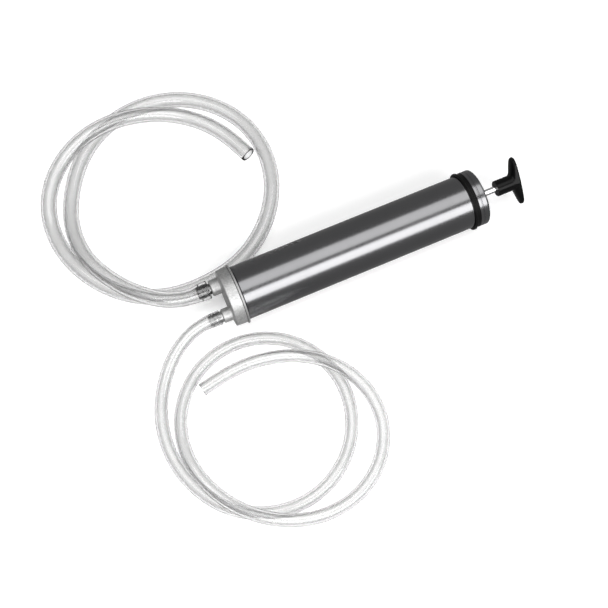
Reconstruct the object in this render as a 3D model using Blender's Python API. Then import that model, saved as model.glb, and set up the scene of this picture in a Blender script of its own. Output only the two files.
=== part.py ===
"""A hand-operated two-hose fluid transfer pump lying on its side, with the plunger pushed in.

The barrel lies along X, with the port end at -X and the handle at +X. The floor is at Z = 0.
All lengths are in metres.
"""

import math

import bmesh
import bpy
from mathutils import Matrix, Vector

# Fineness of the round pieces, and the gap kept between neighbouring pieces
ROUND_SIDES = 40
SMALL_SIDES = 24
BALL_SIDES = 16
GAP = 0.0003

# The barrel's axis: height over the floor
AXIS_HEIGHT = 0.0305

# Barrel: a drawn tube with one fine groove behind the lip ring
BARREL_FRONT_X = -0.1353
BARREL_REAR_X = 0.1225
BARREL_RADIUS = 0.0272
BARREL_BORE = 0.0256
BARREL_GROOVE_X = -0.1329
BARREL_GROOVE_WIDTH = 0.0010
BARREL_GROOVE_DEPTH = 0.0004

# Base cap: a cast disc with two side-by-side ports and a spigot that enters the barrel
CAP_FRONT_X = -0.1475
CAP_REAR_X = -0.1363
CAP_FRONT_RADIUS = 0.0286
CAP_REAR_RADIUS = 0.0290
CAP_CORNER = 0.0012
SPIGOT_END_X = -0.1265
SPIGOT_RADIUS = 0.0252
SEAL_GROOVE_X = -0.1300
SEAL_GROOVE_WIDTH = 0.0024
SEAL_GROOVE_RADIUS = 0.0232
PORT_OFFSET_Y = 0.0155
INLET_BOSS_RADIUS = 0.0081
OUTLET_BOSS_RADIUS = 0.0070
BOSS_FRONT_X = -0.1571
BOSS_BURIED_X = -0.1450
BOSS_ROOT_FLARE = 0.0007
BOSS_CORNER = 0.0012
PORT_BORE = 0.0050
PORT_SHOULDER_X = -0.1335
PORT_THROAT_RADIUS = 0.0030
CUTTER_OVERRUN = 0.0020

# Cap seal, flat gasket and the bright lip ring around the barrel's front end
SEAL_CENTRE_RADIUS = 0.0244
SEAL_SECTION_RADIUS = 0.00085
GASKET_INNER = 0.0255
GASKET_OUTER = 0.0292
LIP_REAR_X = -0.1338
LIP_INNER = 0.0275
LIP_OUTER = 0.0305

# Rubber ring around the barrel's rear end: a raised lip, a plain sleeve and a groove
RUBBER_FRONT_X = 0.1092
RUBBER_LIP_REAR_X = 0.1112
RUBBER_GROOVE_X = 0.1132
RUBBER_REAR_X = 0.1149
RUBBER_INNER = 0.0275
RUBBER_LIP_RADIUS = 0.0300
RUBBER_LIP_CORNER = 0.0005
RUBBER_SLEEVE_RADIUS = 0.0287
RUBBER_GROOVE_RADIUS = 0.0282

# Rear cap: a turned cup over the barrel's rear end, with one groove around it
REAR_CAP_FRONT_X = 0.1152
REAR_CAP_REAR_X = 0.1255
REAR_CAP_PLATE_X = 0.1230
REAR_CAP_RADIUS = 0.0287
REAR_CAP_BORE = 0.0275
REAR_CAP_CORNER = 0.0022
REAR_CAP_GROOVE_X = 0.1186
REAR_CAP_GROOVE_WIDTH = 0.0012
REAR_CAP_GROOVE_DEPTH = 0.0004
REAR_CAP_HOLE = 0.0070
VENT_RADIUS = 0.0015
VENT_OFFSET_Z = 0.0180

# Rod bush through the rear cap, its hexagon nut and the wiper seal in its mouth
BUSH_FRONT_X = 0.1190
BUSH_FLANGE_X = 0.1258
BUSH_REAR_X = 0.1278
BUSH_RADIUS = 0.0067
BUSH_FLANGE_RADIUS = 0.0090
BUSH_COUNTERBORE_X = 0.1260
BUSH_COUNTERBORE = 0.0053
WIPER_FRONT_X = 0.1263
WIPER_REAR_X = 0.1275
WIPER_RADIUS = 0.0050
BUSH_NUT_FRONT_X = 0.1185
BUSH_NUT_REAR_X = 0.1225
BUSH_NUT_RADIUS = 0.0100
BUSH_NUT_HOLE = 0.0070

# Plunger rod, and the hole radius of everything that sits on it
ROD_FRONT_X = -0.1262
ROD_REAR_X = 0.1600
ROD_RADIUS = 0.003175
ROD_HOLE = 0.00345
ROD_CHAMFER = 0.0005

# Piston: a cup seal facing the port end between two washers, held by two nuts on the rod
PISTON_NUT_RADIUS = 0.0060
FRONT_NUT_X = (-0.1255, -0.1205)
FRONT_WASHER_X = (-0.1202, -0.1187)
FRONT_WASHER_RADIUS = 0.0224
CUP_LIP_X = -0.1249
CUP_BASE_X = (-0.1184, -0.1159)
CUP_RADIUS = 0.0253
CUP_BORE = 0.0228
REAR_WASHER_X = (-0.1156, -0.1136)
REAR_WASHER_RADIUS = 0.0245
REAR_NUT_X = (-0.1133, -0.1088)
WASHER_CHAMFER = 0.0003

# T-handle: a hub on the rod and a flat-faced crossbar that thins and narrows to round ends
HANDLE_FACE_X = 0.1710
HANDLE_HALF_LENGTH = 0.0250
HANDLE_TURN = math.radians(44.0)
HANDLE_HALF_BREADTH = 0.0090
HANDLE_TIP_HALF_BREADTH = 0.0076
HANDLE_THICKNESS = 0.0105
HANDLE_TIP_THICKNESS = 0.0035
HANDLE_TAPER_POWER = 0.85
HANDLE_EDGE = 0.0014
HANDLE_EDGE_SHARE = 0.6
HANDLE_SECTION_POWER = 2.2
HANDLE_END_POWER = 6.0
HANDLE_END_REACH = 0.985
HANDLE_SECTIONS = 16
HANDLE_UNDERSIDE_POINTS = 10
HANDLE_EDGE_POINTS = 3
HUB_FRONT_X = 0.1459
HUB_BURIED_X = 0.1660
HUB_RADIUS = 0.0081
HUB_CORNER = 0.0004
HUB_FILLET_X = 0.1636
HUB_FILLET = 0.0020
INSERT_POCKET_X = (0.1482, 0.1612)
INSERT_POCKET_RADIUS = 0.0058
HANDLE_MOUTH_RADIUS = 0.0036
INSERT_X = (0.1485, 0.1605)
INSERT_RADIUS = 0.0055

# Barbed hose fittings, the inlet's being the larger. Each barb's radius, the root radius between
# barbs and the bore are given, and the barb's edge and land as shares of the barbs' pitch.
FITTING_INNER_X = -0.1475
FITTING_COLLAR_X = -0.1574
FITTING_BARB_X = -0.1594
FITTING_TIP_X = -0.1710
SHANK_RADIUS = 0.0047
COLLAR_RADIUS = 0.0055
BARB_COUNT = 3
INLET_BARB = (0.0071, 0.0063, 0.0032)
OUTLET_BARB = (0.0057, 0.0050, 0.0029)
BARB_EDGE = 0.05
BARB_LAND = 0.25

# Check valves: a steel ball and a conical spring in each port
BALL_RADIUS = 0.0038
BALL_RINGS = 8
INLET_BALL_X = -0.1451
INLET_SPRING_X = (-0.1410, -0.1366)
OUTLET_BALL_X = -0.1361
OUTLET_SPRING_X = (-0.1402, -0.1444)
SPRING_WIRE_RADIUS = 0.00025
SPRING_BALL_RADIUS = 0.0022
SPRING_SEAT_RADIUS = 0.0037
SPRING_TURNS = 3
SPRING_POINTS_PER_TURN = 8

# Hoses: clear vinyl, with the route of each one's centreline from its fitting to its cut end.
# Each route is laid in loose loops on the floor, passing over itself where it crosses.
INLET_HOSE_RADIUS = 0.00795
OUTLET_HOSE_RADIUS = 0.00635
HOSE_SPACING = 0.0225
HOSE_FIRST_STEP = 0.0020
HOSE_FINE_STEPS = 40
INLET_ROUTE_MM = (
    (-171.3, 15.5, 30.5),
    (-186, 17, 30.7),
    (-204, 24, 31),
    (-221.5, 38, 30),
    (-236, 55.5, 26.5),
    (-248, 75.5, 23),
    (-256.5, 97, 19.5),
    (-260, 120, 14.5),
    (-258, 147, 10),
    (-243, 185, 8.2),
    (-214, 220.5, 8.2),
    (-174, 241, 8.2),
    (-129, 243, 8.2),
    (-87, 224.5, 8.2),
    (-58, 190, 8.2),
    (-47.5, 146, 8.2),
    (-56.5, 101.5, 8.2),
    (-82, 64.5, 8.2),
    (-117.5, 40.5, 8.2),
    (-158.5, 31.5, 8.2),
    (-202, 35.5, 8.2),
    (-240, 57.5, 8.2),
    (-267, 93.5, 8.2),
    (-278.5, 136.5, 9),
    (-271.5, 176.5, 13.5),
    (-245.5, 208, 20.5),
    (-204.5, 227, 24.5),
    (-160, 230, 20),
    (-117.5, 217.5, 12.5),
    (-84.5, 188.5, 8.7),
    (-64, 146.5, 8.2),
)
OUTLET_ROUTE_MM = (
    (-171.3, -15.5, 30.5),
    (-184, -17, 29.8),
    (-202, -23.5, 26),
    (-229.5, -47, 18),
    (-248.5, -83, 10.5),
    (-251.5, -123.5, 7.5),
    (-238, -163, 6.6),
    (-209, -193.5, 6.6),
    (-170, -207, 6.6),
    (-128.5, -201, 6.6),
    (-95, -176, 6.6),
    (-77, -138, 6.6),
    (-79, -97, 6.6),
    (-101, -61, 6.6),
    (-138, -41, 6.6),
    (-180, -42, 6.6),
    (-215.5, -64, 7.5),
    (-235.5, -100.5, 11),
    (-236.5, -141.5, 16),
    (-220.5, -180, 19.5),
    (-191, -209.5, 19),
    (-153, -225, 14.5),
    (-111.5, -223, 10.2),
    (-75.5, -201.5, 10),
    (-56.5, -166, 13.5),
    (-60, -126, 18),
    (-84, -92, 20),
    (-119, -71.5, 17),
    (-159.5, -64, 12),
    (-201.5, -69, 7.5),
)


def clear_scene():
    for item in list(bpy.data.objects):
        bpy.data.objects.remove(item, do_unlink=True)


def make_material(name, colour, roughness, metallic=0.0, alpha=1.0):
    material = bpy.data.materials.new(name)
    material.use_nodes = True
    shader = material.node_tree.nodes["Principled BSDF"]
    shader.inputs["Base Color"].default_value = (*colour, 1.0)
    shader.inputs["Roughness"].default_value = roughness
    shader.inputs["Metallic"].default_value = metallic
    shader.inputs["Alpha"].default_value = alpha
    material.diffuse_color = (*colour, alpha)
    return material


def add_object(name, mesh, material, parent=None, location=(0.0, 0.0, 0.0)):
    item = bpy.data.objects.new(name, mesh)
    bpy.context.scene.collection.objects.link(item)
    item.location = location
    item.parent = parent
    if material is not None:
        mesh.materials.append(material)
    return item


def smooth(mesh, angle=math.radians(35.0)):
    mesh.shade_smooth()
    mesh.set_sharp_from_angle(angle=angle)


def mesh_from(bm, name):
    bmesh.ops.remove_doubles(bm, verts=bm.verts, dist=1e-6)
    bmesh.ops.recalc_face_normals(bm, faces=bm.faces)
    mesh = bpy.data.meshes.new(name)
    bm.to_mesh(mesh)
    bm.free()
    smooth(mesh)
    return mesh


def turned_mesh(name, profile, sides=ROUND_SIDES, closed=True, origin_x=0.0):
    """A profile of (x, radius) points turned about the X axis.

    A closed profile makes a ring. An open one starts and ends on the axis.
    """
    bm = bmesh.new()
    ring = [bm.verts.new((x - origin_x, 0.0, radius)) for x, radius in profile]
    pairs = list(zip(ring, ring[1:]))
    if closed:
        pairs.append((ring[-1], ring[0]))
    edges = [bm.edges.new(pair) for pair in pairs]
    bmesh.ops.spin(
        bm,
        geom=ring + edges,
        cent=(0.0, 0.0, 0.0),
        axis=(1.0, 0.0, 0.0),
        angle=math.tau,
        steps=sides,
        use_merge=True,
    )
    return mesh_from(bm, name)


def washer_profile(front, rear, inner, outer, chamfer=0.0):
    """A flat ring's section, with its two outer corners chamfered."""
    if chamfer == 0.0:
        return [(front, inner), (front, outer), (rear, outer), (rear, inner)]
    return [
        (front, inner),
        (front, outer - chamfer),
        (front + chamfer, outer),
        (rear - chamfer, outer),
        (rear, outer - chamfer),
        (rear, inner),
    ]


def corner_arc(x, radius, size, start, end, steps=3):
    """Points of a rounded corner about (x, radius), from one angle to another in degrees."""
    points = []
    for step in range(steps + 1):
        angle = math.radians(start + (end - start) * step / steps)
        points.append((x + size * math.cos(angle), radius + size * math.sin(angle)))
    return points


def hexagon_nut_mesh(name, front, rear, hole, across_corners_radius, origin_x):
    """A hexagonal prism along X with a round hole through it."""
    bm = bmesh.new()
    outer_front = []
    inner_front = []
    for step in range(SMALL_SIDES):
        angle = math.tau * step / SMALL_SIDES
        sector = math.tau / 6
        off_flat = (angle % sector) - sector / 2
        outer = across_corners_radius * math.cos(sector / 2) / math.cos(off_flat)
        direction = Vector((0.0, math.sin(angle), math.cos(angle)))
        outer_front.append(bm.verts.new(direction * outer + Vector((front - origin_x, 0, 0))))
        inner_front.append(bm.verts.new(direction * hole + Vector((front - origin_x, 0, 0))))
    count = len(outer_front)
    faces = []
    for index in range(count):
        following = (index + 1) % count
        corners = (
            outer_front[index],
            outer_front[following],
            inner_front[following],
            inner_front[index],
        )
        faces.append(bm.faces.new(corners))
    grown = bmesh.ops.extrude_face_region(bm, geom=faces)
    moved = [item for item in grown["geom"] if isinstance(item, bmesh.types.BMVert)]
    bmesh.ops.translate(bm, verts=moved, vec=(rear - front, 0.0, 0.0))
    return mesh_from(bm, name)


def add_cutter(name, mesh, owner, operation="DIFFERENCE", location=(0.0, 0.0, 0.0), parent=None):
    cutter = add_object(name, mesh, None, parent, location)
    cutter.hide_render = True
    cutter.display_type = "WIRE"
    modifier = owner.modifiers.new(name, "BOOLEAN")
    modifier.object = cutter
    modifier.operation = operation
    modifier.solver = "EXACT"
    return cutter


def plug_profile(front, rear, radius):
    return [(front, 0.0), (front, radius), (rear, radius), (rear, 0.0)]


def boss_mesh(radius):
    """A round boss that stands out of the cap's face, with a flared root and a rounded tip."""
    profile = [
        (BOSS_BURIED_X, 0.0),
        (BOSS_BURIED_X, radius + BOSS_ROOT_FLARE),
        (CAP_FRONT_X, radius + BOSS_ROOT_FLARE),
        (CAP_FRONT_X - BOSS_ROOT_FLARE, radius),
    ]
    profile += corner_arc(
        BOSS_FRONT_X + BOSS_CORNER, radius - BOSS_CORNER, BOSS_CORNER, 90.0, 180.0
    )
    profile.append((BOSS_FRONT_X, 0.0))
    return turned_mesh("boss", profile, SMALL_SIDES, closed=False)


def make_base_cap(material, frame):
    groove_front = SEAL_GROOVE_X - SEAL_GROOVE_WIDTH / 2
    groove_rear = SEAL_GROOVE_X + SEAL_GROOVE_WIDTH / 2
    profile = [(CAP_FRONT_X, 0.0)]
    profile += corner_arc(
        CAP_FRONT_X + CAP_CORNER, CAP_FRONT_RADIUS - CAP_CORNER, CAP_CORNER, 180.0, 90.0
    )
    profile += [
        (CAP_REAR_X, CAP_REAR_RADIUS),
        (CAP_REAR_X, SPIGOT_RADIUS),
        (groove_front, SPIGOT_RADIUS),
        (groove_front, SEAL_GROOVE_RADIUS),
        (groove_rear, SEAL_GROOVE_RADIUS),
        (groove_rear, SPIGOT_RADIUS),
        (SPIGOT_END_X, SPIGOT_RADIUS),
        (SPIGOT_END_X, 0.0),
    ]
    cap = add_object("base_cap", turned_mesh("base_cap", profile, closed=False), material, frame)
    bore_profile = [
        (BOSS_FRONT_X - CUTTER_OVERRUN, 0.0),
        (BOSS_FRONT_X - CUTTER_OVERRUN, PORT_BORE),
        (PORT_SHOULDER_X, PORT_BORE),
        (PORT_SHOULDER_X, PORT_THROAT_RADIUS),
        (SPIGOT_END_X + CUTTER_OVERRUN, PORT_THROAT_RADIUS),
        (SPIGOT_END_X + CUTTER_OVERRUN, 0.0),
    ]
    bore_mesh = turned_mesh("port_bore", bore_profile, SMALL_SIDES, closed=False)
    for side, radius in ((1, INLET_BOSS_RADIUS), (-1, OUTLET_BOSS_RADIUS)):
        place = (0.0, side * PORT_OFFSET_Y, 0.0)
        add_cutter("boss", boss_mesh(radius), cap, "UNION", place, frame)
    for side in (1, -1):
        place = (0.0, side * PORT_OFFSET_Y, 0.0)
        add_cutter("port_bore", bore_mesh, cap, "DIFFERENCE", place, frame)


def make_cap_o_ring(material, frame):
    section = []
    for step in range(6):
        angle = math.radians(60.0 * step)
        x = SEAL_GROOVE_X + SEAL_SECTION_RADIUS * math.cos(angle)
        radius = SEAL_CENTRE_RADIUS + SEAL_SECTION_RADIUS * math.sin(angle)
        section.append((x, radius))
    add_object("cap_o_ring", turned_mesh("cap_o_ring", section, SMALL_SIDES), material, frame)


def make_front_gasket(material, frame):
    profile = washer_profile(
        CAP_REAR_X + GAP, BARREL_FRONT_X - GAP, GASKET_INNER, GASKET_OUTER
    )
    add_object("front_gasket", turned_mesh("front_gasket", profile), material, frame)


def make_front_clamp_ring(material, frame):
    profile = washer_profile(
        BARREL_FRONT_X, LIP_REAR_X, LIP_INNER, LIP_OUTER, WASHER_CHAMFER
    )
    mesh = turned_mesh("front_clamp_ring", profile)
    add_object("front_clamp_ring", mesh, material, frame)


def make_barrel_tube(material, frame):
    profile = [
        (BARREL_FRONT_X, BARREL_BORE),
        (BARREL_FRONT_X, BARREL_RADIUS),
        (BARREL_GROOVE_X - BARREL_GROOVE_WIDTH / 2, BARREL_RADIUS),
        (BARREL_GROOVE_X, BARREL_RADIUS - BARREL_GROOVE_DEPTH),
        (BARREL_GROOVE_X + BARREL_GROOVE_WIDTH / 2, BARREL_RADIUS),
        (BARREL_REAR_X, BARREL_RADIUS),
        (BARREL_REAR_X, BARREL_BORE),
    ]
    add_object("barrel_tube", turned_mesh("barrel_tube", profile), material, frame)


def make_rear_rubber_ring(material, frame):
    profile = [
        (RUBBER_FRONT_X, RUBBER_INNER),
        (RUBBER_FRONT_X, RUBBER_LIP_RADIUS - RUBBER_LIP_CORNER),
        (RUBBER_FRONT_X + RUBBER_LIP_CORNER, RUBBER_LIP_RADIUS),
        (RUBBER_LIP_REAR_X - RUBBER_LIP_CORNER, RUBBER_LIP_RADIUS),
        (RUBBER_LIP_REAR_X, RUBBER_LIP_RADIUS - RUBBER_LIP_CORNER),
        (RUBBER_LIP_REAR_X, RUBBER_SLEEVE_RADIUS),
        (RUBBER_GROOVE_X, RUBBER_SLEEVE_RADIUS),
        (RUBBER_GROOVE_X, RUBBER_GROOVE_RADIUS),
        (RUBBER_REAR_X, RUBBER_GROOVE_RADIUS),
        (RUBBER_REAR_X, RUBBER_INNER),
    ]
    mesh = turned_mesh("rear_rubber_ring", profile)
    add_object("rear_rubber_ring", mesh, material, frame)


def make_rear_cap(material, frame):
    groove_front = REAR_CAP_GROOVE_X - REAR_CAP_GROOVE_WIDTH / 2
    groove_rear = REAR_CAP_GROOVE_X + REAR_CAP_GROOVE_WIDTH / 2
    groove_radius = REAR_CAP_RADIUS - REAR_CAP_GROOVE_DEPTH
    profile = [
        (REAR_CAP_FRONT_X, REAR_CAP_BORE),
        (REAR_CAP_FRONT_X, REAR_CAP_RADIUS),
        (groove_front, REAR_CAP_RADIUS),
        (REAR_CAP_GROOVE_X, groove_radius),
        (groove_rear, REAR_CAP_RADIUS),
    ]
    profile += corner_arc(
        REAR_CAP_REAR_X - REAR_CAP_CORNER,
        REAR_CAP_RADIUS - REAR_CAP_CORNER,
        REAR_CAP_CORNER,
        90.0,
        0.0,
    )
    profile += [
        (REAR_CAP_REAR_X, REAR_CAP_HOLE),
        (REAR_CAP_PLATE_X, REAR_CAP_HOLE),
        (REAR_CAP_PLATE_X, REAR_CAP_BORE),
    ]
    cap = add_object("rear_cap", turned_mesh("rear_cap", profile), material, frame)
    vent = turned_mesh(
        "vent_hole",
        plug_profile(
            REAR_CAP_PLATE_X - CUTTER_OVERRUN, REAR_CAP_REAR_X + CUTTER_OVERRUN, VENT_RADIUS
        ),
        SMALL_SIDES // 2,
        closed=False,
    )
    add_cutter("vent_hole", vent, cap, "DIFFERENCE", (0.0, 0.0, VENT_OFFSET_Z), frame)


def make_rod_bush(material, frame):
    profile = [
        (BUSH_FRONT_X, ROD_HOLE),
        (BUSH_FRONT_X, BUSH_RADIUS),
        (BUSH_FLANGE_X, BUSH_RADIUS),
        (BUSH_FLANGE_X, BUSH_FLANGE_RADIUS),
        (BUSH_REAR_X - WASHER_CHAMFER, BUSH_FLANGE_RADIUS),
        (BUSH_REAR_X, BUSH_FLANGE_RADIUS - WASHER_CHAMFER),
        (BUSH_REAR_X, BUSH_COUNTERBORE),
        (BUSH_COUNTERBORE_X, BUSH_COUNTERBORE),
        (BUSH_COUNTERBORE_X, ROD_HOLE),
    ]
    add_object("rod_bush", turned_mesh("rod_bush", profile, SMALL_SIDES), material, frame)


def make_rod_wiper_seal(material, frame):
    profile = washer_profile(WIPER_FRONT_X, WIPER_REAR_X, ROD_HOLE, WIPER_RADIUS)
    mesh = turned_mesh("rod_wiper_seal", profile, SMALL_SIDES)
    add_object("rod_wiper_seal", mesh, material, frame)


def make_bush_nut(material, frame):
    mesh = hexagon_nut_mesh(
        "bush_nut", BUSH_NUT_FRONT_X, BUSH_NUT_REAR_X, BUSH_NUT_HOLE, BUSH_NUT_RADIUS, 0.0
    )
    add_object("bush_nut", mesh, material, frame)


def make_piston(metal, rubber, slider):
    front_washer = turned_mesh(
        "piston_front_washer",
        washer_profile(*FRONT_WASHER_X, ROD_HOLE, FRONT_WASHER_RADIUS, WASHER_CHAMFER),
    )
    add_object("piston_front_washer", front_washer, metal, slider)
    cup_profile = [
        (CUP_BASE_X[1], ROD_HOLE),
        (CUP_BASE_X[0], ROD_HOLE),
        (CUP_BASE_X[0], CUP_BORE),
        (CUP_LIP_X, CUP_BORE + WASHER_CHAMFER),
        (CUP_LIP_X, CUP_RADIUS),
        (CUP_BASE_X[1] - WASHER_CHAMFER, CUP_RADIUS),
        (CUP_BASE_X[1], CUP_RADIUS - WASHER_CHAMFER),
    ]
    add_object("piston_cup", turned_mesh("piston_cup", cup_profile), rubber, slider)
    rear_washer = turned_mesh(
        "piston_rear_washer",
        washer_profile(*REAR_WASHER_X, ROD_HOLE, REAR_WASHER_RADIUS, WASHER_CHAMFER),
    )
    add_object("piston_rear_washer", rear_washer, metal, slider)


def make_piston_nuts(material, rod_frame):
    for name, (front, rear) in (
        ("piston_front_nut", FRONT_NUT_X),
        ("piston_rear_nut", REAR_NUT_X),
    ):
        mesh = hexagon_nut_mesh(name, front, rear, ROD_HOLE, PISTON_NUT_RADIUS, 0.0)
        add_object(name, mesh, material, rod_frame)


def make_plunger_rod(material, rod_frame):
    profile = [
        (ROD_FRONT_X, 0.0),
        (ROD_FRONT_X, ROD_RADIUS - ROD_CHAMFER),
        (ROD_FRONT_X + ROD_CHAMFER, ROD_RADIUS),
        (ROD_REAR_X - ROD_CHAMFER, ROD_RADIUS),
        (ROD_REAR_X, ROD_RADIUS - ROD_CHAMFER),
        (ROD_REAR_X, 0.0),
    ]
    mesh = turned_mesh("plunger_rod", profile, SMALL_SIDES, closed=False)
    add_object("plunger_rod", mesh, material, rod_frame)


def handle_section(along):
    """The crossbar's outline at a place from -1 to 1 along it, as (x, across) points.

    The push face is flat, its edges are rounded, and the underside is a half superellipse.
    """
    taper = abs(along) ** HANDLE_TAPER_POWER
    rounding = math.sqrt(1.0 - abs(along) ** HANDLE_END_POWER)
    breadth = HANDLE_HALF_BREADTH + (HANDLE_TIP_HALF_BREADTH - HANDLE_HALF_BREADTH) * taper
    breadth *= rounding
    thickness = HANDLE_THICKNESS + (HANDLE_TIP_THICKNESS - HANDLE_THICKNESS) * taper
    edge = min(HANDLE_EDGE, breadth * HANDLE_EDGE_SHARE)
    points = []
    for side in (-1, 1):
        for step in range(HANDLE_EDGE_POINTS + 1):
            turn = step / HANDLE_EDGE_POINTS
            if side == 1:
                turn = 1.0 - turn
            angle = turn * math.pi / 2
            across = side * (breadth - edge + edge * math.cos(angle))
            points.append((HANDLE_FACE_X - edge + edge * math.sin(angle), across))
    depth = thickness - edge
    for step in range(1, HANDLE_UNDERSIDE_POINTS):
        angle = math.pi * step / HANDLE_UNDERSIDE_POINTS
        power = 2.0 / HANDLE_SECTION_POWER
        across = breadth * math.copysign(abs(math.cos(angle)) ** power, math.cos(angle))
        points.append((HANDLE_FACE_X - edge - depth * math.sin(angle) ** power, across))
    return points


def crossbar_mesh():
    bm = bmesh.new()
    loops = []
    for index in range(HANDLE_SECTIONS + 1):
        along = HANDLE_END_REACH * (2.0 * index / HANDLE_SECTIONS - 1.0)
        reach = along * HANDLE_HALF_LENGTH / HANDLE_END_REACH
        ring = [bm.verts.new((x, reach, across)) for x, across in handle_section(along)]
        loops.append(ring)
    for ring, following in zip(loops, loops[1:]):
        for corner, point in enumerate(ring):
            after = (corner + 1) % len(ring)
            bm.faces.new((point, ring[after], following[after], following[corner]))
    bm.faces.new(loops[0])
    bm.faces.new(loops[-1])
    return mesh_from(bm, "crossbar")


def hub_mesh():
    """The round hub, with a fillet that spreads along the crossbar but not across it."""
    profile = [(HUB_FRONT_X, 0.0)]
    profile += corner_arc(
        HUB_FRONT_X + HUB_CORNER, HUB_RADIUS - HUB_CORNER, HUB_CORNER, 180.0, 90.0
    )
    profile += corner_arc(
        HUB_FILLET_X - HUB_FILLET, HUB_RADIUS + HUB_FILLET, HUB_FILLET, 270.0, 360.0
    )
    profile += [(HUB_BURIED_X, HUB_RADIUS + HUB_FILLET), (HUB_BURIED_X, 0.0)]
    mesh = turned_mesh("hub", profile, SMALL_SIDES, closed=False)
    for vertex in mesh.vertices:
        radius = math.hypot(vertex.co.y, vertex.co.z)
        if radius > HUB_RADIUS:
            vertex.co.z *= HUB_RADIUS / radius
    return mesh


def make_handle(plastic, brass, rod_frame):
    """The crossbar joined to its hub, with a pocket that holds the threaded insert."""
    turn = bpy.data.objects.new("handle_turn", None)
    bpy.context.scene.collection.objects.link(turn)
    turn.parent = rod_frame
    turn.rotation_euler = (HANDLE_TURN, 0.0, 0.0)
    handle = add_object("handle", crossbar_mesh(), plastic, turn)
    add_cutter("hub", hub_mesh(), handle, "UNION", parent=turn)
    pocket_profile = [
        (HUB_FRONT_X - CUTTER_OVERRUN, 0.0),
        (HUB_FRONT_X - CUTTER_OVERRUN, HANDLE_MOUTH_RADIUS),
        (INSERT_POCKET_X[0], HANDLE_MOUTH_RADIUS),
        (INSERT_POCKET_X[0], INSERT_POCKET_RADIUS),
        (INSERT_POCKET_X[1], INSERT_POCKET_RADIUS),
        (INSERT_POCKET_X[1], 0.0),
    ]
    pocket = turned_mesh("insert_pocket", pocket_profile, SMALL_SIDES, closed=False)
    add_cutter("insert_pocket", pocket, handle, parent=turn)
    insert = turned_mesh(
        "handle_insert", washer_profile(*INSERT_X, ROD_HOLE, INSERT_RADIUS), SMALL_SIDES
    )
    add_object("handle_insert", insert, brass, turn)


def make_fitting(name, barb, side, material, frame):
    """A turned fitting: a plain shank in the port, a collar, and a hose tail with barbs."""
    barb_radius, root_radius, bore = barb
    profile = [
        (FITTING_INNER_X, bore),
        (FITTING_INNER_X, SHANK_RADIUS),
        (FITTING_COLLAR_X, SHANK_RADIUS),
        (FITTING_COLLAR_X, COLLAR_RADIUS),
        (FITTING_BARB_X, COLLAR_RADIUS),
    ]
    pitch = (FITTING_BARB_X - FITTING_TIP_X) / BARB_COUNT
    for index in range(BARB_COUNT):
        start = FITTING_BARB_X - index * pitch
        profile += [
            (start - pitch * BARB_EDGE, barb_radius),
            (start - pitch * BARB_LAND, barb_radius),
            (start - pitch, root_radius),
        ]
    profile.append((FITTING_TIP_X, bore))
    mesh = turned_mesh(name, profile[::-1], SMALL_SIDES)
    add_object(name, mesh, material, frame, (0.0, side * PORT_OFFSET_Y, 0.0))


def make_ball(name, x, side, material):
    """A steel ball at its own centre, which is its seat on the valve's axis."""
    profile = []
    for ring in range(BALL_RINGS + 1):
        angle = math.pi * ring / BALL_RINGS
        profile.append((-BALL_RADIUS * math.cos(angle), BALL_RADIUS * math.sin(angle)))
    profile[0] = (-BALL_RADIUS, 0.0)
    profile[-1] = (BALL_RADIUS, 0.0)
    mesh = turned_mesh(name, profile, BALL_SIDES, closed=False)
    place = (x, side * PORT_OFFSET_Y, AXIS_HEIGHT)
    return add_object(name, mesh, material, None, place)


def tube_curve(name, points, radius, resolution, material):
    """A round tube along the points, with filled ends."""
    curve = bpy.data.curves.new(name, "CURVE")
    curve.dimensions = "3D"
    curve.bevel_depth = radius
    curve.bevel_resolution = resolution
    curve.use_fill_caps = True
    spline = curve.splines.new("POLY")
    spline.points.add(len(points) - 1)
    for point, place in zip(spline.points, points):
        point.co = (*place, 1.0)
        point.radius = 1.0
    spline.use_smooth = True
    curve.materials.append(material)
    item = bpy.data.objects.new(name, curve)
    bpy.context.scene.collection.objects.link(item)
    return item


def make_valve(name, ball_x, spring_x, side, steel):
    """A ball with the conical spring that presses it on its seat, drawn pushed together."""
    ball = make_ball(name + "_ball", ball_x, side, steel)
    count = SPRING_TURNS * SPRING_POINTS_PER_TURN
    points = []
    for step in range(count + 1):
        part = step / count
        angle = math.tau * SPRING_TURNS * part
        radius = SPRING_BALL_RADIUS + (SPRING_SEAT_RADIUS - SPRING_BALL_RADIUS) * part
        x = spring_x[0] + (spring_x[1] - spring_x[0]) * part
        points.append((x - ball_x, radius * math.cos(angle), radius * math.sin(angle)))
    spring = tube_curve(name + "_spring", points, SPRING_WIRE_RADIUS, 1, steel)
    spring.parent = ball


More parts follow.
